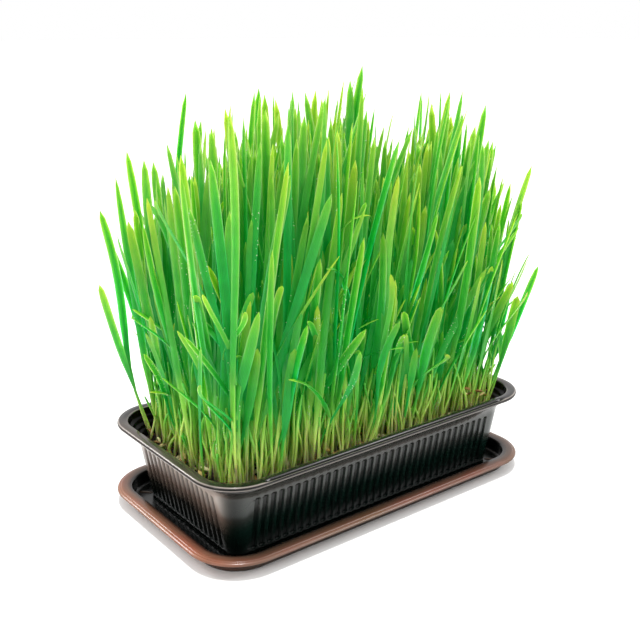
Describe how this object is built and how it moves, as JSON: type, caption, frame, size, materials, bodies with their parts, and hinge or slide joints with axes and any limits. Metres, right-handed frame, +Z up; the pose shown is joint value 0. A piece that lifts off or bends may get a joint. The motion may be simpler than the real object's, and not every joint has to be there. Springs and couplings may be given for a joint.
{
  "type": "wheatgrass tray",
  "caption": "Rectangular fluted planter of potting soil with dense upright wheatgrass sprouts, standing in a shallow saucer with a broad rim.",
  "frame": {"origin": "middle of the saucer's flat underside", "axes": "+Z up along the sprouts, +X along the tray's long side, +Y along its short side"},
  "size_m": [0.2607, 0.1514, 0.2676],
  "materials": {
    "saucer": "satin red-brown moulded plastic",
    "planter": "glossy black-brown thermoformed plastic",
    "soil": "damp crumbly potting soil",
    "sprouts": "fresh smooth leaves, pale at the stems"
  },
  "bodies": {
    "root": {"saucer": "saucer", "planter": "planter", "soil": "soil", "sprouts_01": "sprouts", "sprouts_02": "sprouts", "sprouts_03": "sprouts", "sprouts_04": "sprouts", "sprouts_05": "sprouts", "sprouts_06": "sprouts", "sprouts_07": "sprouts", "sprouts_08": "sprouts", "sprouts_09": "sprouts", "sprouts_10": "sprouts", "sprouts_11": "sprouts", "sprouts_12": "sprouts", "sprouts_13": "sprouts", "sprouts_14": "sprouts", "sprouts_15": "sprouts", "sprouts_16": "sprouts", "sprouts_17": "sprouts", "sprouts_18": "sprouts", "sprouts_19": "sprouts", "sprouts_20": "sprouts", "sprouts_21": "sprouts", "sprouts_22": "sprouts", "sprouts_23": "sprouts", "sprouts_24": "sprouts", "sprouts_25": "sprouts", "sprouts_26": "sprouts", "sprouts_27": "sprouts", "sprouts_28": "sprouts", "sprouts_29": "sprouts", "sprouts_30": "sprouts", "sprouts_31": "sprouts", "sprouts_32": "sprouts", "sprouts_33": "sprouts", "sprouts_34": "sprouts", "sprouts_35": "sprouts", "sprouts_36": "sprouts", "sprouts_37": "sprouts", "sprouts_38": "sprouts", "sprouts_39": "sprouts", "sprouts_40": "sprouts", "sprouts_41": "sprouts", "sprouts_42": "sprouts", "sprouts_43": "sprouts", "sprouts_44": "sprouts", "sprouts_45": "sprouts", "sprouts_46": "sprouts", "sprouts_47": "sprouts", "sprouts_48": "sprouts", "sprouts_49": "sprouts", "sprouts_50": "sprouts", "sprouts_51": "sprouts", "sprouts_52": "sprouts", "sprouts_53": "sprouts", "sprouts_54": "sprouts", "sprouts_55": "sprouts"}
  },
  "joints": []
}
